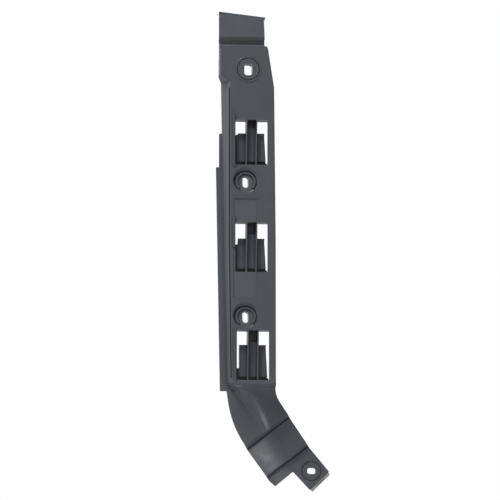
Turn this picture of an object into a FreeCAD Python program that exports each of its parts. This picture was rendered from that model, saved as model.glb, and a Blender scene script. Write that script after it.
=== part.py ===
import FreeCAD, Part
import math
import os

from FreeCAD import Vector

# Bumper mounting bracket: one moulded piece, a narrow open-backed rail with a bent leg below it.
# Millimetres. X runs to the right, Y goes back from the front face, Z is up.
# The origin lies on the front face, midway between the two middle screw slots.

# Walls
wall = 2.5
side_wall = 2.2
rib_thickness = 1.1
pocket_back = 1.5
join = 1.0

# Rail, seen from the front
rail_top = 186.1
rail_bottom = -121.0
rail_depth = 10.0
rail_left_top = -24.0
rail_right_top = 20.2
rail_right_neck = 21.6
rail_right_hip = 26.0
rail_right_middle = 27.3
rail_right_bottom = 27.4
neck_drop = 9.6
hip_drop = 38.3
facet_start_drop = 26.9
facet_height = 6.0
rail_edge_round = 1.2
rail_corner_round = 2.4

# Left wall of the rail, a slope between the front face and the flange
crease_top_x = -15.4
crease_bottom_x = -13.6
lean_start_z = 8.3
slope_run_top = 6.2
slope_run_middle = 3.6
slope_run_bottom = 2.3
shoulder_width = 1.1
shoulder_drop = 1.2
bead_round = 2.0
crease_depth = 2.4
crease_end_rise = 4.0

# Mounting flange along the left side
flange_thickness = 2.5
flange_narrow_x = -23.3
flange_wide_x = -26.1
flange_bottom_x = -22.3
flange_narrow_z = 106.8
flange_wide_z = 75.9
flange_bottom_z = -127.5
flange_corner_round = 1.0

# Top tab above its groove
tab_left_x = -24.3
tab_right_x = 16.7
tab_right_low_x = 17.3
tab_height_left = 31.6
tab_height_right = 27.0
tab_lean = 2.4
tab_groove_height = 8.3
tab_groove_upper = 4.3
tab_groove_flat = 2.0
tab_groove_depth = 3.0
tab_groove_round = 0.8
lip_thickness = 1.3
lip_depth = 7.5
lip_overhang = 1.3
lip_proud = 0.4

# Windows: left edge, top, bottom, height of the free opening, depth of the dark pocket, left gap
window_width = 29.0
window_one = dict(x=-9.2, top=118.1, bottom=76.9, opening=12.3, pocket=6.5, left_gap_end=1.0)
window_two = dict(x=-9.2, top=24.5, bottom=-20.6, opening=14.7, pocket=10.2, left_gap_end=5.0)
window_three = dict(x=-7.9, top=-73.4, bottom=-118.4, opening=13.2, pocket=10.1, left_gap_end=20.7)
window_round = 0.8
left_rib_x = 9.8
right_rib_x = 18.8
rib_lean = 0.7
wing_face_top = 4.2
wing_face_bottom = 3.4
wing_thickness = 2.6
wing_catch_height = 2.7
wing_catch_rise = 2.8
wing_gap_left = 2.3
wing_gap_right_top = 2.8
wing_gap_right_bottom = 1.3
wing_gap_right_end = 2.4
root_groove_height = 3.3
root_groove_depth = 6.5
root_height = 5.2
side_groove_width = 1.0
floor_face_top = 4.8
floor_face_bottom = 3.2

# Narrow raised beads beside the windows: x, top, length
side_bead_width = 1.8
side_bead_height = 0.9
side_beads = [
    dict(x=-10.6, top=125.1, length=50.0),
    dict(x=-10.6, top=30.9, length=29.1),
    dict(x=-9.8, top=-71.8, length=48.6),
]

# Shallow panel in the middle of the front face
panel_left_x = -10.8
panel_width = 20.6
panel_top_z = 46.0
panel_height = 90.6
panel_depth = 0.4

# Middle screw bosses
screw_pitch = 122.8
screw_slot_width = 5.4
screw_slot_length = 10.6
boss_seat_radius = 9.9
boss_tilt = 8.0
boss_cone = 42.0
boss_seat_sink = 0.3
boss_back_radius = 12.4
boss_back_depth = 5.8
sleeve_wall = 2.0
collar_outer_radius = 9.0
collar_inner_radius = 7.6
collar_height = 1.2
collar_opening = 90.0

# Upper screw seat
upper_seat_x = 2.4
upper_seat_z = 164.6
upper_pad_radius = 11.9
upper_pad_height = 0.25
upper_ring_radius = 10.0
upper_ring_width = 0.9
upper_ring_depth = 0.7
upper_slot_width = 7.2
upper_slot_height = 11.0
upper_slot_round = 2.3
upper_back_depth = 5.5

# Leg, bent away from the rail; its points are (x, z) with z counted from the rail's bottom line
leg_angle = 37.6
leg_left_bend = (-11.5, -38.3)
leg_left_radius = 85.0
leg_foot_start = (24.0, -85.9)
leg_foot_corner = (29.1, -90.5)
leg_notch = (44.9, -77.4)
leg_tip = (60.2, -93.9)
leg_end_corner = (77.3, -77.2)
leg_right_knee = (58.4, -54.4)
leg_right_bend_drop = 9.6
leg_right_radius = 22.0
leg_corner_round = 0.8
leg_notch_round = 1.2
leg_thickness = 2.5
leg_root_margin = 0.4
gusset_bend = 14.0
gusset_fall = 3.0

# Crest: low rounded ridge where the ramp begins
crest_rise = 0.7
crest_height = 3.6
crest_fall = 3.4
crest_round = 1.6

# Ramp sections, each across the leg: foot (x, z) in the valley, turn from level, distance from the
# foot to the ridge, share of the fall to the gusset, radius of the ridge, fall in degrees to its right
ramp_sections = [
    dict(foot=(-15.9, 0.0), turn=0.0, ridge=2.3, share=0.0, roll=1.5, lean=0.0),
    dict(foot=(-13.0, -4.5), turn=3.0, ridge=5.0, share=0.08, roll=3.0, lean=2.0),
    dict(foot=(-5.6, -13.3), turn=14.0, ridge=10.0, share=0.36, roll=12.0, lean=8.0),
    dict(foot=(1.2, -21.6), turn=24.0, ridge=9.5, share=0.61, roll=14.0, lean=7.0),
    dict(foot=(7.6, -29.5), turn=31.0, ridge=8.5, share=0.76, roll=14.0, lean=5.5),
    dict(foot=(13.5, -40.5), turn=37.6, ridge=8.0, share=0.84, roll=14.0, lean=4.5),
    dict(foot=(17.0, -47.0), turn=37.6, ridge=8.0, share=0.86, roll=14.0, lean=4.0),
]
ramp_foot_sink = 0.6
ramp_reach = 70.0
ramp_room = 5.0

# Cross steps of the leg, measured along it: slanted drop, then a thin raised rib
ramp_end = 45.2
step_one_height = 3.0
step_one_drop = 4.0
step_two_height = 2.0
step_two_drop = 2.6
step_rib_width = 0.8
step_rib_rise = 1.0
step_rib_side = 0.2
step_rib_fall = 0.9
middle_length = 27.3
middle_fall = 3.4

# Crown of the lower leg: flat to the right of its start, curving back to the left
crown_start = -6.0
crown_fall = 3.6
crown_edge = -34.0
crown_steps = 4

# Seat, slot and bent edge at the leg's end
end_seat_x = 61.3
end_seat_drop = 76.7
end_ring_radius = 8.6
end_ring_width = 0.9
end_ring_depth = 0.8
end_slot_width = 7.4
end_slot_height = 5.4
end_slot_round = 2.0
end_flange_out = 2.7
end_flange_back = 4.2
end_flange_thickness = 1.5
end_flange_round = 0.8
end_flange_margin = 0.8
end_slit_length = 10.0
end_slit_width = 0.9

# Worked out from the sizes above
rail_back = rail_depth + flange_thickness
clear = 40.0
screw_half_pitch = screw_pitch / 2


def rounded_wire(corners, place):
    """Closed wire through corners (a, b) or (a, b, radius); place(a, b) gives each point in space."""
    flat = [(c[0], c[1], c[2] if len(c) > 2 else 0.0) for c in corners]
    count = len(flat)
    stretches = []
    for i in range(count):
        before, corner, after = flat[i - 1], flat[i], flat[(i + 1) % count]
        radius = corner[2]
        if radius <= 0:
            stretches.append([corner[:2]])
            continue
        here = Vector(corner[0], corner[1], 0)
        back = (Vector(before[0], before[1], 0) - here).normalize()
        ahead = (Vector(after[0], after[1], 0) - here).normalize()
        half = back.getAngle(ahead) / 2
        reach = radius / math.tan(half)
        bisector = (back + ahead).normalize()
        centre = here + bisector * (radius / math.sin(half))
        first, last = here + back * reach, here + ahead * reach
        middle = centre - bisector * radius
        stretches.append([(p.x, p.y) for p in (first, middle, last)])
    edges = []
    for i in range(count):
        stretch = stretches[i]
        if len(stretch) == 3:
            edges.append(Part.Arc(*[place(*p) for p in stretch]).toShape())
        start, end = stretch[-1], stretches[(i + 1) % count][0]
        if math.dist(start, end) > 1e-6:
            edges.append(Part.makeLine(place(*start), place(*end)))
    return Part.Wire(edges)


def front_prism(corners, y_low, y_high):
    """Solid of a front-view outline (x, z), running from y_low back to y_high."""
    wire = rounded_wire(corners, lambda a, b: Vector(a, y_low, b))
    return Part.Face(wire).extrude(Vector(0, y_high - y_low, 0))


def side_prism(corners, x_low, x_high):
    """Solid of a side-view outline (y, z), running from x_low to x_high."""
    wire = rounded_wire(corners, lambda a, b: Vector(x_low, a, b))
    return Part.Face(wire).extrude(Vector(x_high - x_low, 0, 0))


def block(x_low, x_high, y_low, y_high, z_low, z_high):
    return Part.makeBox(x_high - x_low, y_high - y_low, z_high - z_low, Vector(x_low, y_low, z_low))


def rounded_slot(x, z, width, height, radius, y_low, y_high):
    left, right, low, high = x - width / 2, x + width / 2, z - height / 2, z + height / 2
    corners = [(left, low, radius), (right, low, radius), (right, high, radius), (left, high, radius)]
    return front_prism(corners, y_low, y_high)


def full_slot(x, z, width, length, y_low, y_high):
    """Upright slot with round ends."""
    straight = (length - width) / 2
    middle = block(x - width / 2, x + width / 2, y_low, y_high, z - straight, z + straight)
    ends = [post(x, z + s * straight, width / 2, y_low, y_high) for s in (1, -1)]
    return middle.fuse(ends).removeSplitter()


def post(x, z, radius, y_low, y_high):
    return Part.makeCylinder(radius, y_high - y_low, Vector(x, y_low, z), Vector(0, 1, 0))


def ring_groove(x, z, y, radius, width, depth):
    outer = post(x, z, radius + width / 2, y - join, y + depth)
    return outer.cut(post(x, z, radius - width / 2, y - 2 * join, y + depth + join))


def between(z, z_high, z_low, at_high, at_low):
    """Value at height z on the straight run from at_high to at_low."""
    share = (z_high - z) / (z_high - z_low)
    return at_high + share * (at_low - at_high)


def rail_stations():
    """Heights at which the rail's section is set: z, crease x, foot of the slope x, right edge x."""
    facet_top = rail_top - facet_start_drop
    facet_low = facet_top - facet_height
    neck, hip = rail_top - neck_drop, rail_top - hip_drop
    right_at_top = between(facet_top, neck, hip, rail_right_neck, rail_right_hip)
    right_at_low = between(facet_low, neck, hip, rail_right_neck, rail_right_hip)
    foot_top, foot_middle = crease_top_x - slope_run_top, crease_top_x - slope_run_middle
    foot_at_hip = between(hip, facet_low, lean_start_z, foot_top, foot_middle)
    return [
        (rail_top, rail_left_top, rail_left_top, rail_right_top),
        (neck, rail_left_top, rail_left_top, rail_right_neck),
        (facet_top, rail_left_top, rail_left_top, right_at_top),
        (facet_low, crease_top_x, foot_top, right_at_low),
        (hip, crease_top_x, foot_at_hip, rail_right_hip),
        (lean_start_z, crease_top_x, foot_middle, rail_right_middle),
        (rail_bottom, crease_bottom_x, crease_bottom_x - slope_run_bottom, rail_right_bottom),
    ]


def foot_x(z):
    """X of the slope's foot, where it meets the flange, at height z below the facet."""
    upper, middle, lower = rail_stations()[-3:]
    if z > middle[0]:
        return between(z, upper[0], middle[0], upper[2], middle[2])
    return between(z, middle[0], lower[0], middle[2], lower[2])


def rail_outer():
    wires = []
    for z, crease, foot, right in rail_stations():
        corners = [
            (right, rail_back),
            (right, 0, rail_edge_round),
            (crease + shoulder_width, 0, bead_round),
            (crease, shoulder_drop),
            (foot, rail_depth),
            (foot, rail_back),
        ]
        wires.append(rounded_wire(corners, lambda a, b, z=z: Vector(a, b, z)))
    return Part.makeLoft(wires, True, True)


def rail_cavity():
    wires = []
    stations = rail_stations()
    for z, crease, foot, right in stations:
        if z == stations[0][0]:
            z = z + join
        if z == stations[-1][0]:
            z = z - join
        corners = [
            (right - side_wall, rail_back + join),
            (right - side_wall, wall),
            (crease + side_wall + shoulder_width, wall),
            (crease + side_wall, wall + shoulder_drop + join),
            (foot + side_wall, rail_depth),
            (foot + side_wall, rail_back + join),
        ]
        wires.append(rounded_wire(corners, lambda a, b, z=z: Vector(a, b, z)))
    return Part.makeLoft(wires, True, True)


def crease_groove():
    """Fine groove between the slope and the rounded bead at the front face's left edge."""
    wires = []
    stations = rail_stations()[-3:]
    for z, crease, foot, right in stations:
        if z == stations[-1][0]:
            z = z + crease_end_rise
        corners = [
            (crease, -join),
            (crease + shoulder_width, -join),
            (crease + shoulder_width, crease_depth),
            (crease + shoulder_width / 2, crease_depth),
        ]
        wires.append(rounded_wire(corners, lambda a, b, z=z: Vector(a, b, z)))
    return Part.makeLoft(wires, True, True)


def rail_top_corner():
    """What the rounded upper right corner of the rail takes away."""
    r = rail_corner_round
    x, z = rail_right_top, rail_top
    square = block(x - r, x + join, -join, rail_back + join, z - r, z + join)
    return square.cut(post(x - r, z - r, r, -2 * join, rail_back + 2 * join))


def flange():
    """Back flange with its stepped left edge."""
    inner = side_wall / 2
    corners = [
        (flange_narrow_x, flange_narrow_z, flange_corner_round),
        (flange_narrow_x, flange_wide_z),
        (flange_wide_x, flange_wide_z, flange_corner_round),
        (flange_bottom_x, flange_bottom_z, flange_corner_round),
        (foot_x(rail_bottom) + inner, flange_bottom_z),
        (foot_x(rail_bottom) + inner, rail_bottom),
        (foot_x(lean_start_z) + inner, lean_start_z),
        (foot_x(flange_narrow_z) + inner, flange_narrow_z),
    ]
    return front_prism(corners, rail_depth, rail_back)


def tab():
    """Top tab: it leans back a little, and a groove with a narrow flat bottom parts it from the rail."""
    groove_top = rail_top + tab_groove_height
    bottom_high = groove_top - tab_groove_upper
    bottom_low = bottom_high - tab_groove_flat
    top_left, top_right = rail_top + tab_height_left, rail_top + tab_height_right
    front = [
        (tab_lean, top_left),
        (0, groove_top, tab_groove_round),
        (tab_groove_depth, bottom_high, tab_groove_round),
        (tab_groove_depth, bottom_low, tab_groove_round),
        (0, rail_top, tab_groove_round),
        (0, rail_top - 2 * tab_groove_round),
    ]
    back = [
        (wall, rail_top - 2 * tab_groove_round),
        (wall, rail_top - tab_groove_round),
        (tab_groove_depth + wall, bottom_low),
        (tab_groove_depth + wall, bottom_high),
        (wall, groove_top + tab_groove_round),
        (tab_lean + wall, top_left),
    ]
    sheet = side_prism(front + back, tab_left_x - join, rail_right_top + join)
    outline = [
        (tab_left_x, top_left),
        (tab_right_x, top_right),
        (tab_right_low_x, groove_top),
        (tab_right_low_x, rail_top - 2 * tab_groove_round),
        (rail_left_top, rail_top - 2 * tab_groove_round),
        (tab_left_x, rail_top),
    ]
    return sheet.common(front_prism(outline, -join, rail_back))


def tab_lip():
    """Thin lip that runs back from the tab's sloping top edge and stands past its right end."""
    top_left, top_right = rail_top + tab_height_left, rail_top + tab_height_right
    slope = (top_right - top_left) / (tab_right_x - tab_left_x)
    end_x = tab_right_x + lip_overhang
    end_z = top_right + slope * lip_overhang
    corners = [
        (tab_left_x, top_left),
        (end_x, end_z),
        (end_x, end_z - lip_thickness),
        (tab_left_x, top_left - lip_thickness),
    ]
    return front_prism(corners, tab_lean - lip_proud, tab_lean + lip_depth)


def window_hole(w):
    right = w["x"] + window_width
    corners = [(w["x"], w["bottom"]), (right, w["bottom"]), (right, w["top"]), (w["x"], w["top"])]
    return front_prism([c + (window_round,) for c in corners], -join, wall + join)


def window_frame(w):
    """Walls that run back from the window's top and bottom edges."""
    left, right = w["x"] - join, w["x"] + window_width + join
    top = block(left, right, join / 2, rail_back, w["top"], w["top"] + wall)
    bottom = block(left, right, join / 2, root_groove_depth + wall, w["bottom"] - wall, w["bottom"])
    return top.fuse(bottom)


def window_ribs(w):
    """Two thin upright ribs, flush with the front face, that lean a little to the left going down."""
    ribs = []
    for offset in (left_rib_x, right_rib_x):
        top_x = w["x"] + offset
        low_x = top_x - rib_lean
        corners = [
            (top_x, w["top"] + join / 2),
            (top_x + rib_thickness, w["top"] + join / 2),
            (low_x + rib_thickness, w["bottom"] - join / 2),
            (low_x, w["bottom"] - join / 2),
        ]
        ribs.append(front_prism(corners, 0, rail_back))
    return ribs


def window_floor(w):
    """Floor between the ribs: a slope, a deep pocket above it and a narrow groove below it."""
    pocket_z = w["top"] - w["pocket"]
    groove_z = w["bottom"] + root_groove_height
    root_back = root_groove_depth + wall
    pocket_y = rail_back - pocket_back
    corners = [
        (floor_face_top, pocket_z),
        (pocket_y, pocket_z),
        (pocket_y, w["top"] + join),
        (rail_back, w["top"] + join),
        (rail_back, pocket_z - wall),
        (floor_face_top + wing_thickness, pocket_z - wall),
        (floor_face_bottom + wing_thickness, w["bottom"] + root_height + join),
        (root_back, w["bottom"] + root_height),
        (root_back, w["bottom"] - join),
        (root_groove_depth, w["bottom"] - join),
        (root_groove_depth, groove_z),
        (floor_face_bottom, groove_z),
    ]
    left = w["x"] + left_rib_x - rib_lean + rib_thickness / 2
    right = w["x"] + right_rib_x + rib_thickness / 2
    floor = side_prism(corners, left, right)
    return floor.common(between_ribs(w))


def between_ribs(w):
    """Slanted block from the middle of one rib to the middle of the other."""
    half = rib_thickness / 2
    left, right = w["x"] + left_rib_x + half, w["x"] + right_rib_x + half
    corners = [
        (left, w["top"] + join),
        (right, w["top"] + join),
        (right - rib_lean, w["bottom"] - join),
        (left - rib_lean, w["bottom"] - join),
    ]
    return front_prism(corners, 0, rail_back + join)


def window_wing(w, side):
    """Springy wing beside a rib, set back, with a catch along its free top edge."""
    wing_top = w["top"] - w["opening"]
    groove_z = w["bottom"] + root_groove_height
    root_back = root_groove_depth + wall
    corners = [
        (wing_face_top - wing_catch_rise, wing_top),
        (wing_face_top, wing_top - wing_catch_height),
        (wing_face_bottom, groove_z),
        (root_groove_depth, groove_z),
        (root_groove_depth, w["bottom"] - join),
        (root_back, w["bottom"] - join),
        (root_back, w["bottom"] + root_height),
        (wing_face_bottom + wing_thickness, w["bottom"] + root_height + join),
        (wing_face_top + wing_thickness, wing_top - wing_catch_height),
        (wing_face_top, wing_top),
    ]
    half = rib_thickness / 2
    rib_left, rib_right = w["x"] + left_rib_x, w["x"] + right_rib_x
    right_edge = w["x"] + window_width
    if side == "left":
        plan = [
            (w["x"] + side_groove_width, w["bottom"] - join),
            (rib_left + half - rib_lean, w["bottom"] - join),
            (rib_left + half, wing_top + join),
            (w["x"] + wing_gap_left, wing_top + join),
            (w["x"] + wing_gap_left, wing_top - w["left_gap_end"]),
            (w["x"] + side_groove_width, wing_top - w["left_gap_end"]),
        ]
    else:
        gap_low = w["bottom"] + wing_gap_right_end
        plan = [
            (rib_right + half - rib_lean, w["bottom"] - join),
            (right_edge, w["bottom"] - join),
            (right_edge, gap_low),
            (right_edge - wing_gap_right_bottom, gap_low),
            (right_edge - wing_gap_right_top, wing_top + join),
            (rib_right + half, wing_top + join),
        ]
    body = side_prism(corners, w["x"], right_edge)
    return body.common(front_prism(plan, -join, rail_back + join))


def window_side_web(w):
    """Wall and back strip that close the narrow groove on the left below the wing's free edge."""
    gap_end = w["top"] - w["opening"] - w["left_gap_end"]
    root_back = root_groove_depth + wall
    low = w["bottom"] - join
    web = block(w["x"] - pocket_back, w["x"], join, root_back, low, gap_end)
    strip_right = w["x"] + side_groove_width + wall
    strip = block(w["x"] - pocket_back, strip_right, root_groove_depth - join, root_back, low, gap_end)
    return web.fuse(strip)


def side_bead(bead):
    """Narrow raised bead with round ends."""
    centre_z = bead["top"] - bead["length"] / 2
    return full_slot(bead["x"], centre_z, side_bead_width, bead["length"], -side_bead_height, join)


def panel_recess():
    low = panel_top_z - panel_height
    return block(panel_left_x, panel_left_x + panel_width, -join, panel_depth, low, panel_top_z)


def tilted(shape, z):
    """Turns a seat shape about the lower edge of its circle, so that the seat faces a little upward."""
    shape = shape.copy()
    hinge = Vector(0, 0, z - boss_seat_radius)
    shape.rotate(hinge, Vector(1, 0, 0), -boss_tilt)
    shape.translate(Vector(0, boss_seat_sink, 0))
    return shape


def boss_back(z):
    """Back of a middle boss, with a sleeve round its slot that reaches the mounting plane."""
    width, length = screw_slot_width + 2 * sleeve_wall, screw_slot_length + 2 * sleeve_wall
    sleeve = full_slot(0, z, width, length, wall, rail_back)
    return post(0, z, boss_back_radius, join, boss_back_depth).fuse(sleeve)


def upper_back():
    """Round pad of the upper seat, with a sleeve round its slot that reaches the mounting plane."""
    x, z = upper_seat_x, upper_seat_z
    pad = post(x, z, upper_pad_radius, -upper_pad_height, upper_back_depth)
    width, height = upper_slot_width + 2 * sleeve_wall, upper_slot_height + 2 * sleeve_wall
    return pad.fuse(rounded_slot(x, z, width, height, upper_slot_round + sleeve_wall, wall, rail_back))


def boss_pocket(z):
    """Cone-sided pocket, flush with the face at its bottom edge and deepest at its top edge."""
    height = boss_seat_radius
    mouth = boss_seat_radius + height * math.tan(math.radians(boss_cone))
    cone = Part.makeCone(boss_seat_radius, mouth, height, Vector(0, 0, z), Vector(0, -1, 0))
    return tilted(cone, z)


def boss_collar(z):
    """Raised collar round the slot, open at the bottom."""
    outer = post(0, z, collar_outer_radius, -collar_height, join)
    collar = outer.cut(post(0, z, collar_inner_radius, -2 * join - collar_height, 2 * join))
    reach = 2 * collar_outer_radius
    half = math.radians(collar_opening / 2)
    side = reach * math.tan(half)
    gap = front_prism([(0, z), (side, z - reach), (-side, z - reach)], -2 * join - collar_height, 2 * join)
    return tilted(collar.cut(gap), z)


def leg_point(u, v):
    """Front-view point from the leg's own directions: u down along the leg, v across it to the upper right."""
    angle = math.radians(leg_angle)
    x = u * math.sin(angle) + v * math.cos(angle)
    return (x, rail_bottom - u * math.cos(angle) + v * math.sin(angle))


def along_leg(point):
    """Distance down the leg of a point (x, z) counted from the rail's bottom line."""
    angle = math.radians(leg_angle)
    return point[0] * math.sin(angle) - point[1] * math.cos(angle)


def gusset_y(u):
    """Depth of the gusset's front surface at distance u down the leg: level, then falling away."""
    share = (u - gusset_bend) / (ramp_end - gusset_bend)
    return rail_depth + gusset_fall * min(max(share, 0.0), 1.0)


def across_leg(profile):
    """Solid of a profile (u, y) along the leg, run right across it."""
    angle = math.radians(leg_angle)
    across = Vector(math.cos(angle), 0, math.sin(angle)) * (2 * ramp_reach)
    return Part.Face(leg_profile(profile, -ramp_reach)).extrude(across)


def leg_profile(profile, v):
    """Wire of a profile (u, y) that stands at distance v across the leg."""

    def place(along, depth):
        x, z = leg_point(along, v)
        return Vector(x, depth, z)

    return rounded_wire(profile, place)


def crown_y(v):
    """How far the crown of the lower leg has curved back at distance v across it."""
    share = max(crown_start - v, 0.0) / (crown_start - crown_edge)
    return crown_fall * share ** 2


def crowned_leg(profile):
    """Solid of a profile (u, y) along the leg, run across it over the crown."""
    step = (crown_start - crown_edge) / crown_steps
    stations = [crown_start - i * step for i in range(-crown_steps, crown_steps + 2)]
    wires = [leg_profile([(u, y + crown_y(v)) for u, y in profile], v) for v in stations]
    return Part.makeLoft(wires, True, False)


def leg_outline(rise):
    """Front-view outline of the leg, from rise above the rail's bottom line down to the cut-out end."""
    root_left = foot_x(rail_bottom) - leg_root_margin
    return [
        (root_left, rail_bottom + rise),
        (root_left, flange_bottom_z),
        on_leg(leg_left_bend, leg_left_radius),
        on_leg(leg_foot_start),
        on_leg(leg_foot_corner, leg_corner_round),
        on_leg(leg_notch, leg_notch_round),
        on_leg(leg_tip, leg_corner_round),
        on_leg(leg_end_corner, leg_corner_round),
        on_leg(leg_right_knee),
        (rail_right_bottom, rail_bottom - leg_right_bend_drop, leg_right_radius),
        (rail_right_bottom, rail_bottom + rise),
    ]


def on_leg(point, radius=0.0):
    return (point[0], rail_bottom + point[1], radius)


def leg_prism(y_low, y_high, rise=0.0, inset=0.0):
    """Leg outline as a solid; inset pulls its edges in by a wall."""
    wire = rounded_wire(leg_outline(rise), lambda a, b: Vector(a, y_low, b))
    face = Part.Face(wire)
    if inset > 0:
        face = face.makeOffset2D(-inset)
    return face.extrude(Vector(0, y_high - y_low, 0))


def ramp_loft(thickness, side, back):
    """Smooth ramp from the rail's front face back to the flange; thickness and side set it inwards."""
    wires = []
    for section in ramp_sections:
        turn = math.radians(section["turn"])
        foot = on_leg(section["foot"])

        def place(across, y, foot=foot, turn=turn):
            return Vector(foot[0] + across * math.cos(turn), y, foot[1] + across * math.sin(turn))

        surface = gusset_y(along_leg(section["foot"]))
        level = section["share"] * surface + thickness
        ridge = side + section["ridge"]
        far = level + (ramp_reach - ridge) * math.tan(math.radians(section["lean"]))
        corners = [
            (side, back + 2 * ramp_room),
            (side, surface + thickness + ramp_foot_sink),
            (ridge, level, section["roll"]),
            (ramp_reach, far),
            (ramp_reach, back + 2 * ramp_room),
        ]
        wires.append(rounded_wire(corners, place))
    return Part.makeLoft(wires, True, False)


def ramp():
    """Ramp and the gusset beside it, as one shell, up to the first cross step."""
    high = 2 * side_wall
    deepest = rail_back + gusset_fall
    front = [(u, gusset_y(u)) for u in (-ramp_reach, gusset_bend, ramp_end)]
    back = [(u, y + flange_thickness) for u, y in reversed(front)]
    slab = across_leg(front + back).common(leg_prism(rail_depth - join, deepest + join))
    room = across_leg([(-ramp_reach, -join), (ramp_end, -join)] + back)
    outer = ramp_loft(0.0, 0.0, deepest).common(leg_prism(-join, deepest + join, high)).common(room)
    inner = leg_prism(-join, deepest + 2 * join, high, side_wall)
    cavity = ramp_loft(wall, side_wall / 2, deepest + join).common(inner)
    return outer.fuse(slab).cut(cavity)


def lower_leg():
    """Stepped lower length of the leg: two slanted cross steps, each with a thin raised rib."""
    rib = step_rib_width + step_rib_fall
    ramp_y = gusset_y(ramp_end)
    one_u, one_y = ramp_end + step_one_height, ramp_y + step_one_drop
    two_u, two_y = one_u + rib + middle_length, one_y + middle_fall
    three_u, three_y = two_u + step_two_height, two_y + step_two_drop
    start, end = ramp_end - 2 * join, three_u + ramp_reach
    front = [(start, gusset_y(start)), (ramp_end, ramp_y)]
    front += cross_rib(one_u, one_y) + [(two_u, two_y)] + cross_rib(three_u, three_y) + [(end, three_y)]
    back = [
        (end, three_y + leg_thickness),
        (three_u, three_y + leg_thickness),
        (two_u, two_y + leg_thickness),
        (one_u, one_y + leg_thickness),
        (ramp_end, ramp_y + flange_thickness),
        (start, gusset_y(start) + flange_thickness),
    ]
    return crowned_leg(front + back).common(leg_prism(-join, clear))


def cross_rib(u, y):
    """Corners of a thin rib just past a step: steep towards the step, slanted on its lower side."""
    top = y - step_rib_rise
    low = u + step_rib_width
    return [(u, y), (u + step_rib_side, top), (low, top), (low + step_rib_fall, y)]


def end_face_y():
    return gusset_y(ramp_end) + step_one_drop + middle_fall + step_two_drop


def end_flange():
    """Edge of the leg's end, bent back, with a narrow slit in it."""
    tip_x, tip_z = on_leg(leg_tip)[:2]
    corner_x, corner_z = on_leg(leg_end_corner)[:2]
    tip, corner = Vector(tip_x, 0, tip_z), Vector(corner_x, 0, corner_z)
    along = (corner - tip).normalize()
    out = Vector(along.z, 0, -along.x)
    length = (corner - tip).Length
    y = end_face_y()
    profile = [
        (-end_flange_out, y + end_flange_thickness / 2),
        (-join, y),
        (0, y, end_flange_round),
        (end_flange_out, y + end_flange_back),
        (end_flange_out - end_flange_thickness, y + end_flange_back + end_flange_thickness / 2),
        (-end_flange_thickness, y + leg_thickness),
        (-end_flange_out, y + leg_thickness),
    ]
    margin = end_flange_margin

    def place(outward, depth):
        return tip + along * margin + out * outward + Vector(0, depth, 0)

    body = Part.Face(rounded_wire(profile, place)).extrude(along * (length - 2 * margin))
    middle = tip + along * (length / 2) + out * (end_flange_out / 2) + Vector(0, y + end_flange_back / 2, 0)
    slit = Part.makeBox(end_slit_length, end_slit_width, clear)
    slit.translate(Vector(-end_slit_length / 2, -end_slit_width / 2, -clear / 2))
    fold = (out * end_flange_out + Vector(0, end_flange_back, 0)).normalize()
    through = along.cross(fold)
    axes = FreeCAD.Rotation(along, fold, through, "XYZ")
    slit.Placement = FreeCAD.Placement(middle, axes).multiply(slit.Placement)
    return body.cut(slit)


def crest():
    """Low rounded ridge across the front face, where the ramp begins."""
    corners = [
        (0, rail_bottom + crest_height + crest_round),
        (-crest_rise, rail_bottom, crest_round),
        (join, rail_bottom - crest_fall),
        (join, rail_bottom + crest_height),
    ]
    left = crease_bottom_x + shoulder_width
    return side_prism(corners, left, rail_right_bottom - rail_edge_round)


def bracket():
    body = rail_outer().cut(rail_cavity()).cut(rail_top_corner()).cut(crease_groove())
    body = body.fuse([flange(), tab(), tab_lip(), ramp(), lower_leg(), crest()])
    body = body.fuse([boss_back(screw_half_pitch), boss_back(-screw_half_pitch), upper_back()])
    windows = (window_one, window_two, window_three)
    for w in windows:
        body = body.cut(window_hole(w))
        pieces = [window_frame(w), window_floor(w), window_side_web(w)]
        pieces += window_ribs(w) + [window_wing(w, "left"), window_wing(w, "right")]
        body = body.fuse(pieces)
    body = body.cut(panel_recess())
    body = body.fuse([side_bead(bead) for bead in side_beads])
    for z in (screw_half_pitch, -screw_half_pitch):
        body = body.cut(boss_pocket(z)).fuse(boss_collar(z))
        body = body.cut(full_slot(0, z, screw_slot_width, screw_slot_length, -clear, clear))
    body = body.cut(upper_cuts()).cut(end_cuts())
    body = body.fuse(end_flange())
    return body.removeSplitter()


def upper_cuts():
    x, z = upper_seat_x, upper_seat_z
    slot = rounded_slot(x, z, upper_slot_width, upper_slot_height, upper_slot_round, -clear, clear)
    ring = ring_groove(x, z, -upper_pad_height, upper_ring_radius, upper_ring_width, upper_ring_depth)
    return slot.fuse(ring)


def end_cuts():
    x, z = end_seat_x, rail_bottom - end_seat_drop
    slot = rounded_slot(x, z, end_slot_width, end_slot_height, end_slot_round, -clear, clear)
    return slot.fuse(ring_groove(x, z, end_face_y(), end_ring_radius, end_ring_width, end_ring_depth))


os.makedirs("parts", exist_ok=True)
shape = bracket()
volume = round(shape.Volume / 1000, 2)
print("bracket", len(shape.Solids), "solid, valid", shape.isValid(), "volume", volume, "cm3")
print("box", shape.BoundBox)
shape.exportStep("parts/bracket.step")
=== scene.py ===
import math

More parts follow.
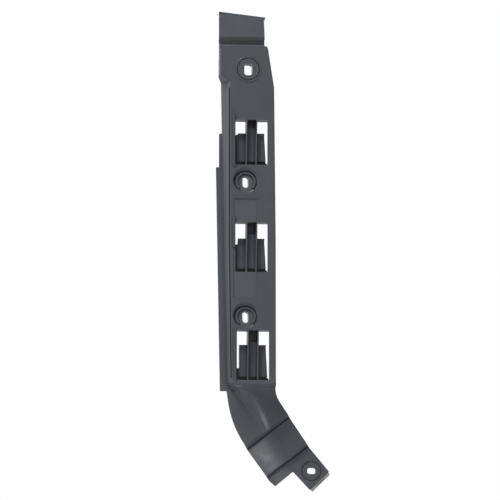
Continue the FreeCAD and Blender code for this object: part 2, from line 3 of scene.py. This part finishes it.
import bpy
from bpy.props import FloatProperty, FloatVectorProperty, PointerProperty
from bpy.types import Operator, Panel, PropertyGroup
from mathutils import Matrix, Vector


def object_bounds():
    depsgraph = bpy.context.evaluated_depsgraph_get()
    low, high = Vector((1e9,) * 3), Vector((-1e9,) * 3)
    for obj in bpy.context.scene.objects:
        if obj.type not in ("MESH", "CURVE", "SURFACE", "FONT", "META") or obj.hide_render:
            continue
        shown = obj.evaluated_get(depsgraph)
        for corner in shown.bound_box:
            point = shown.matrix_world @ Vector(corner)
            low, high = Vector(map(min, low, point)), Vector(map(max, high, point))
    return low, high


bl_info = {
    "name": "Bumper Mounting Bracket",
    "version": (1, 0, 0),
    "blender": (4, 5, 0),
    "location": "3D View > Sidebar > Bracket",
    "description": "Moulded finish and studio stage for a bumper mounting bracket",
    "category": "Object",
}

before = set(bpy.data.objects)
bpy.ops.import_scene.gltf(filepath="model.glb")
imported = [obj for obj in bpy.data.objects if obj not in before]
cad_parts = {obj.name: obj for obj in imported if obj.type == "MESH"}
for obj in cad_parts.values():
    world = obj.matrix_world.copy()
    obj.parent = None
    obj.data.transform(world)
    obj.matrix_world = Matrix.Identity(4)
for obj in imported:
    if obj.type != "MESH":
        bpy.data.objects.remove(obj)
cad_low, cad_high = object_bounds()
BRACKET = "bracket"

# Finish: shares, sample counts and mask ranges that the sidebar doesn't offer
NOISE_ROUGHNESS = 0.55
SPECK_TO_GRAIN = 3
RUB_TO_MOTTLE = 0.25
EDGE_POLISH = 0.1
GRAIN_STRENGTH = 0.5
EDGE_SAMPLES = 6
EDGE_MATCH = (0.75, 1)
RECESS_SAMPLES = 16
RECESS_ROOM = (0.45, 0.95)

# Stage: each lamp's name, place and width in metres, power setting, and whether only reflections show it
LAMPS = (
    ("key_lamp", (-1.05, -0.74, 2.3), 1, "key_power", False),
    ("left_lamp", (-1.7, -0.5, 0.5), 0.7, "fill_power", False),
    ("rear_lamp", (-0.6, 1.6, 1.0), 1, "rear_power", False),
    ("sheen_lamp", (-0.02, -0.85, -0.41), 0.14, "sheen_power", True),
)
FLOOR_ROUGHNESS = 0.9
CAMERA_CLIP = (0.01, 50)
WHITE = (1, 1, 1, 1)


def add_node(tree, kind, place, **inputs):
    """New shader node at a place in the editor, with its sockets set by name."""
    node = tree.nodes.new(kind)
    node.location = place
    for name, value in inputs.items():
        node.inputs[name.replace("_", " ")].default_value = value
    return node


def add_noise(tree, place, coordinates, size, detail):
    """Noise whose blobs are about size metres across."""
    noise = add_node(
        tree, "ShaderNodeTexNoise", place, Scale=1 / size, Detail=detail, Roughness=NOISE_ROUGHNESS)
    tree.links.new(coordinates, noise.inputs["Vector"])
    return noise.outputs["Fac"]


def add_range(tree, place, value, low, high, start=0.3, end=0.7):
    """Maps a value between start and end, by default a noise's usual spread, to low and high."""
    node = tree.nodes.new("ShaderNodeMapRange")
    node.location = place
    tree.links.new(value, node.inputs["Value"])
    node.inputs["From Min"].default_value = start
    node.inputs["From Max"].default_value = end
    node.inputs["To Min"].default_value = low
    node.inputs["To Max"].default_value = high
    return node.outputs["Result"]


def add_math(tree, place, operation, first, second):
    """Math node of two values, each a socket or a number."""
    node = tree.nodes.new("ShaderNodeMath")
    node.location = place
    node.operation = operation
    for socket, value in zip(node.inputs, (first, second)):
        if isinstance(value, (int, float)):
            socket.default_value = value
        else:
            tree.links.new(value, socket)
    return node.outputs["Value"]


def vector_socket(sockets, name):
    """Socket of a mix node that carries a vector."""
    return next(socket for socket in sockets if socket.type == "VECTOR" and socket.name == name)


def moulded_plastic(settings):
    """Satin black moulded plastic: mottled tone, grain, sheen, burnished edges, painted recess shade and end
    highlight.
    """
    material = bpy.data.materials.new("moulded_satin_plastic")
    material.use_nodes = True
    tree = material.node_tree
    tree.nodes.clear()
    output = add_node(tree, "ShaderNodeOutputMaterial", (900, 0))
    surface = add_node(tree, "ShaderNodeBsdfPrincipled", (600, 0))
    surface.inputs["Specular IOR Level"].default_value = settings.sheen
    tree.links.new(surface.outputs["BSDF"], output.inputs["Surface"])
    place = add_node(tree, "ShaderNodeTexCoord", (-1100, 0)).outputs["Object"]

    mottle = add_noise(tree, (-900, 320), place, settings.mottle_size, 3)
    speck = add_noise(tree, (-900, 120), place, settings.grain_size * SPECK_TO_GRAIN, 2)
    rub = add_noise(tree, (-900, -80), place, settings.mottle_size * RUB_TO_MOTTLE, 4)
    grain = add_noise(tree, (-900, -280), place, settings.grain_size, 3)

    spread = settings.tone_variation
    broad = add_range(tree, (-700, 320), mottle, 1 - spread, 1 + spread)
    fine = add_range(tree, (-700, 120), speck, 1 - spread / 2, 1 + spread / 2)
    tone = add_math(tree, (-500, 260), "MULTIPLY", broad, fine)

    edge_normal, edge = soft_edge(tree, settings)
    worn = add_math(tree, (-300, 120), "MULTIPLY", edge, settings.edge_burnish)
    tone = add_math(tree, (-100, 260), "ADD", tone, worn)
    # Painted shade: recesses darkened by ambient occlusion
    tone = add_math(tree, (0, 400), "MULTIPLY", tone, recess_shade(tree, settings))
    lift = add_math(tree, (0, 560), "MULTIPLY", panel_mask(tree, place, settings), settings.panel_lift)
    tone = add_math(tree, (50, 480), "MULTIPLY", tone, add_math(tree, (25, 620), "ADD", lift, 1))
    # Painted highlight: the bent end edge takes a pale colour standing in for light caught there
    base = add_node(tree, "ShaderNodeMix", (60, 260))
    base.data_type = "VECTOR"
    vector_socket(base.inputs, "A").default_value = settings.plastic_tone
    vector_socket(base.inputs, "B").default_value = settings.bend_highlight_tone
    tree.links.new(end_bend_highlight(tree, place, settings), base.inputs[0])
    colour = add_node(tree, "ShaderNodeVectorMath", (200, 260))
    colour.operation = "SCALE"
    tree.links.new(vector_socket(base.outputs, "Result"), colour.inputs[0])
    tree.links.new(tone, colour.inputs["Scale"])
    tree.links.new(colour.outputs["Vector"], surface.inputs["Base Color"])

    middle, spread = settings.roughness, settings.roughness_spread
    rough = add_range(tree, (-700, -80), rub, middle - spread, middle + spread)
    polish = add_math(tree, (-300, -80), "MULTIPLY", edge, EDGE_POLISH)
    rough = add_math(tree, (-100, -80), "SUBTRACT", rough, polish)
    tree.links.new(rough, surface.inputs["Roughness"])

    bump = add_node(
        tree, "ShaderNodeBump", (100, -280), Strength=GRAIN_STRENGTH, Distance=settings.grain_depth)
    tree.links.new(grain, bump.inputs["Height"])
    tree.links.new(edge_normal, bump.inputs["Normal"])
    tree.links.new(bump.outputs["Normal"], surface.inputs["Normal"])
    return material


def end_bend_highlight(tree, place, settings):
    """Mask for a painted highlight, bright on the bent edge at the leg's end."""
    turn, start = settings.bend_turn, settings.bend_distance
    distance = add_node(tree, "ShaderNodeVectorMath", (-700, 520))
    distance.operation = "DOT_PRODUCT"
    distance.inputs[1].default_value = (math.cos(turn), 0, math.sin(turn))
    tree.links.new(place, distance.inputs[0])
    end = start + settings.bend_fade
    return add_range(tree, (-500, 520), distance.outputs["Value"], 0, 1, start, end)


def panel_mask(tree, place, settings):
    """Mask of the shallow panel in the middle of the front face."""
    offset = add_node(tree, "ShaderNodeVectorMath", (-900, 900))
    offset.operation = "SUBTRACT"
    offset.inputs[1].default_value = settings.panel_centre
    tree.links.new(place, offset.inputs[0])
    span = add_node(tree, "ShaderNodeVectorMath", (-700, 900))
    span.operation = "ABSOLUTE"
    tree.links.new(offset.outputs["Vector"], span.inputs[0])
    parts = add_node(tree, "ShaderNodeSeparateXYZ", (-500, 900))
    tree.links.new(span.outputs["Vector"], parts.inputs["Vector"])
    inside = [
        add_math(tree, (-300, 900 - 150 * i), "LESS_THAN", parts.outputs[i], half)
        for i, half in enumerate(settings.panel_half)
    ]
    both = add_math(tree, (-150, 850), "MULTIPLY", inside[0], inside[1])
    return add_math(tree, (-50, 800), "MULTIPLY", both, inside[2])


def recess_shade(tree, settings):
    """Painted shade: darker tone in grooves, pockets and inner corners, where little light reaches."""
    room = add_node(tree, "ShaderNodeAmbientOcclusion", (-900, 700), Distance=settings.recess_reach)
    room.samples = RECESS_SAMPLES
    return add_range(tree, (-700, 700), room.outputs["AO"], settings.recess_shade_tone, 1, *RECESS_ROOM)


def soft_edge(tree, settings):
    """Normal rounded over each edge, and a mask that is bright along the edges."""
    rounded = add_node(tree, "ShaderNodeBevel", (-900, -500), Radius=settings.edge_round)
    rounded.samples = EDGE_SAMPLES
    plain = add_node(tree, "ShaderNodeNewGeometry", (-900, -680)).outputs["Normal"]
    match = add_node(tree, "ShaderNodeVectorMath", (-700, -600))
    match.operation = "DOT_PRODUCT"
    tree.links.new(rounded.outputs["Normal"], match.inputs[0])
    tree.links.new(plain, match.inputs[1])
    mask = add_range(tree, (-500, -600), match.outputs["Value"], 1, 0, *EDGE_MATCH)
    return rounded.outputs["Normal"], mask


class BracketFinishSettings(PropertyGroup):
    plastic_tone: FloatVectorProperty(
        name="Plastic Tone", description="Colour of the moulded plastic", subtype="COLOR",
        default=(0.062, 0.069, 0.080), min=0, max=1)
    tone_variation: FloatProperty(
        name="Tone Variation", description="How much lighter and darker the tone runs", subtype="FACTOR",
        default=0.06, min=0, max=0.5)
    mottle_size: FloatProperty(
        name="Mottle Size", description="Width of the soft lighter and darker areas", unit="LENGTH",
        default=0.03, min=0.001)
    grain_size: FloatProperty(
        name="Grain Size", description="Width of the moulded grain", unit="LENGTH",
        default=0.0005, min=0.0001)
    grain_depth: FloatProperty(
        name="Grain Depth", description="Depth of the moulded grain", unit="LENGTH", default=0.00004, min=0)
    roughness: FloatProperty(
        name="Roughness", description="Middle roughness of the satin surface", subtype="FACTOR",
        default=0.32, min=0, max=1)
    roughness_spread: FloatProperty(
        name="Roughness Spread", description="How far the roughness runs to either side", subtype="FACTOR",
        default=0.05, min=0, max=0.5)
    sheen: FloatProperty(
        name="Specular Level", description="Strength of the surface reflection", subtype="FACTOR",
        default=0.25, min=0, max=1)
    edge_round: FloatProperty(
        name="Edge Rounding", description="Radius of the small rounding on every edge", unit="LENGTH",
        default=0.00035, min=0)
    edge_burnish: FloatProperty(
        name="Edge Burnish", description="How much lighter the rubbed edges are", subtype="FACTOR",
        default=0.12, min=0, max=1)
    panel_lift: FloatProperty(
        name="Panel Lift", description="How much lighter the shallow panel is", subtype="FACTOR",
        default=0.16, min=0, max=1)
    panel_centre: FloatVectorProperty(
        name="Panel Centre", description="Middle of the shallow panel's floor", subtype="TRANSLATION",
        unit="LENGTH", default=(-0.0005, 0.0004, 0.0007))
    panel_half: FloatVectorProperty(
        name="Panel Half Size", description="Half of the shallow panel's width, depth and height",
        subtype="TRANSLATION", unit="LENGTH", default=(0.0103, 0.0003, 0.0453))
    # Painted shade: share of the tone left deep in a recess
    recess_shade_tone: FloatProperty(
        name="Recess Tone", description="Share of the tone that is left deep in a recess", subtype="FACTOR",
        default=0.22, min=0, max=1)
    recess_reach: FloatProperty(
        name="Recess Reach", description="Distance within which walls darken a recess", unit="LENGTH",
        default=0.005, min=0.0005)
    # Painted highlight: pale warm colour standing in for light caught on the bent end edge
    bend_highlight_tone: FloatVectorProperty(
        name="Bend Tone", description="Whitened colour of the bent edge at the leg's end", subtype="COLOR",
        default=(0.34, 0.32, 0.28), min=0, max=1)
    bend_turn: FloatProperty(
        name="Bend Turn", description="Angle in front view at which the bent edge faces", subtype="ANGLE",
        default=math.radians(-45.7))
    bend_distance: FloatProperty(
        name="Bend Distance", description="Distance of the bend from the origin", unit="LENGTH",
        default=0.1957)
    bend_fade: FloatProperty(
        name="Bend Fade", description="Width over which the bend grows lighter", unit="LENGTH",
        default=0.0009, min=0.0001)


class BracketStageSettings(PropertyGroup):
    view_azimuth: FloatProperty(
        name="View Azimuth", description="Camera's turn round the bracket, 0 in front", subtype="ANGLE",
        default=math.radians(-5))
    view_elevation: FloatProperty(
        name="View Elevation", description="Camera's height angle above the level", subtype="ANGLE",
        default=math.radians(-8))
    view_distance: FloatProperty(
        name="View Distance", description="Distance from the camera to its aim", unit="LENGTH",
        default=3.5, min=0.5)
    view_width: FloatProperty(
        name="View Width", description="Width that the square frame takes in", unit="LENGTH",
        default=0.45, min=0.05)
    view_aim: FloatVectorProperty(
        name="View Aim", description="Point on the front face that the camera looks at",
        subtype="TRANSLATION", unit="LENGTH", default=(0.0039, 0, -0.0008))
    floor_drop: FloatProperty(
        name="Floor Drop", description="Distance from the bracket's lowest point to the floor", unit="LENGTH",
        default=0.29, min=0)
    floor_width: FloatProperty(
        name="Floor Width", description="Side of the square floor", unit="LENGTH", default=12, min=1)
    floor_tone: FloatVectorProperty(
        name="Floor Tone", description="Colour of the floor", subtype="COLOR",
        default=(0.72, 0.72, 0.72), min=0, max=1)
    surround: FloatProperty(
        name="Surround Light", description="Strength of the even light from all round", default=0.12, min=0)
    key_power: FloatProperty(
        name="Key Power", description="Power of the large lamp above and in front", unit="POWER",
        default=124, min=0)
    fill_power: FloatProperty(
        name="Fill Power", description="Power of the lamp on the left", unit="POWER", default=5, min=0)
    rear_power: FloatProperty(
        name="Rear Power", description="Power of the lamp behind the bracket", unit="POWER",
        default=12, min=0)
    sheen_power: FloatProperty(
        name="Sheen Power", description="Power of the low lamp that shows in reflections", unit="POWER",
        default=2.0, min=0)


class BRACKET_OT_finish_moulding(Operator):
    """Gives the moulded bracket its satin plastic"""

    bl_idname = "bracket.finish_moulding"
    bl_label = "Finish Moulding"

    def execute(self, context):
        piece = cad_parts.get(BRACKET)
        if piece is None:
            raise RuntimeError("the frame has no bracket to finish")
        material = moulded_plastic(context.scene.bracket_finish)
        piece.data.materials.clear()
        piece.data.materials.append(material)
        return {"FINISHED"}


def lamp(name, place, aim, size, power, sheen_only):
    """Square soft lamp at a place, turned to its aim; a sheen lamp shows only in reflections."""
    light = bpy.data.lights.new(name, "AREA")
    light.size = size
    light.energy = power
    holder = bpy.data.objects.new(name, light)
    holder.location = place
    holder.rotation_euler = (Vector(aim) - Vector(place)).to_track_quat("-Z", "Y").to_euler()
    holder.visible_diffuse = not sheen_only
    bpy.context.scene.collection.objects.link(holder)


def studio_floor(settings):
    """Square pale floor below the bracket."""
    half = settings.floor_width / 2
    height = cad_low.z - settings.floor_drop
    corners = [(x * half, y * half, height) for x, y in ((-1, -1), (1, -1), (1, 1), (-1, 1))]
    mesh = bpy.data.meshes.new("studio_floor")
    mesh.from_pydata(corners, [], [(0, 1, 2, 3)])
    floor = bpy.data.objects.new("studio_floor", mesh)
    bpy.context.scene.collection.objects.link(floor)
    material = bpy.data.materials.new("floor_paper")
    material.use_nodes = True
    surface = material.node_tree.nodes["Principled BSDF"]
    surface.inputs["Base Color"].default_value = (*settings.floor_tone, 1)
    surface.inputs["Roughness"].default_value = FLOOR_ROUGHNESS
    mesh.materials.append(material)


def surround_light(settings):
    """World that shows white to the camera and in reflections, and lights the bracket evenly."""
    world = bpy.data.worlds.new("studio_surround")
    bpy.context.scene.world = world
    world.use_nodes = True
    tree = world.node_tree
    back = tree.nodes["Background"]
    back.inputs["Color"].default_value = WHITE
    rays = add_node(tree, "ShaderNodeLightPath", (-700, 0))
    direct, glossy = rays.outputs["Is Camera Ray"], rays.outputs["Is Glossy Ray"]
    seen = add_math(tree, (-500, 100), "MAXIMUM", direct, glossy)
    seen = add_math(tree, (-300, 100), "MAXIMUM", seen, rays.outputs["Is Transmission Ray"])
    strength = add_range(tree, (-150, 0), seen, settings.surround, 1, 0, 1)
    tree.links.new(strength, back.inputs["Strength"])


def studio_camera(settings):
    """Camera at the photograph's angle: a little to the left and below, looking up."""
    turn, lift = settings.view_azimuth, settings.view_elevation
    back = Vector((math.sin(turn) * math.cos(lift), -math.cos(turn) * math.cos(lift), math.sin(lift)))
    camera = bpy.data.cameras.new("studio_camera")
    camera.lens = camera.sensor_width * settings.view_distance / settings.view_width
    camera.clip_start, camera.clip_end = CAMERA_CLIP
    holder = bpy.data.objects.new("studio_camera", camera)
    holder.location = Vector(settings.view_aim) + back * settings.view_distance
    holder.rotation_euler = (-back).to_track_quat("-Z", "Y").to_euler()
    bpy.context.scene.collection.objects.link(holder)
    bpy.context.scene.camera = holder


class BRACKET_OT_set_stage(Operator):
    """Sets the camera, lamps, floor and white surround"""

    bl_idname = "bracket.set_stage"
    bl_label = "Set Stage"

    def execute(self, context):
        settings = context.scene.bracket_stage
        context.scene.view_settings.view_transform = "Standard"
        studio_camera(settings)
        for name, place, size, power, sheen_only in LAMPS:
            lamp(name, place, settings.view_aim, size, getattr(settings, power), sheen_only)
        studio_floor(settings)
        surround_light(settings)
        return {"FINISHED"}


class BRACKET_PT_sidebar(Panel):
    """Lists the bracket's sizes and finishes"""

    bl_idname = "BRACKET_PT_sidebar"
    bl_label = "Mounting Bracket"
    bl_space_type = "VIEW_3D"
    bl_region_type = "UI"
    bl_category = "Bracket"

    def draw(self, context):
        layout = self.layout
        for settings, operator in (
            (context.scene.bracket_finish, "bracket.finish_moulding"),
            (context.scene.bracket_stage, "bracket.set_stage"),
        ):
            box = layout.box()
            for name in settings.__annotations__:
                box.prop(settings, name)
            box.operator(operator)


CLASSES = (
    BracketFinishSettings,
    BracketStageSettings,
    BRACKET_OT_finish_moulding,
    BRACKET_OT_set_stage,
    BRACKET_PT_sidebar,
)


def register():
    for cls in CLASSES:
        bpy.utils.register_class(cls)
    bpy.types.Scene.bracket_finish = PointerProperty(type=BracketFinishSettings)
    bpy.types.Scene.bracket_stage = PointerProperty(type=BracketStageSettings)


def unregister():
    del bpy.types.Scene.bracket_stage
    del bpy.types.Scene.bracket_finish
    for cls in reversed(CLASSES):
        bpy.utils.unregister_class(cls)


def main():
    register()
    bpy.ops.bracket.set_stage()
    bpy.ops.bracket.finish_moulding()


if __name__ == "__main__":
    main()
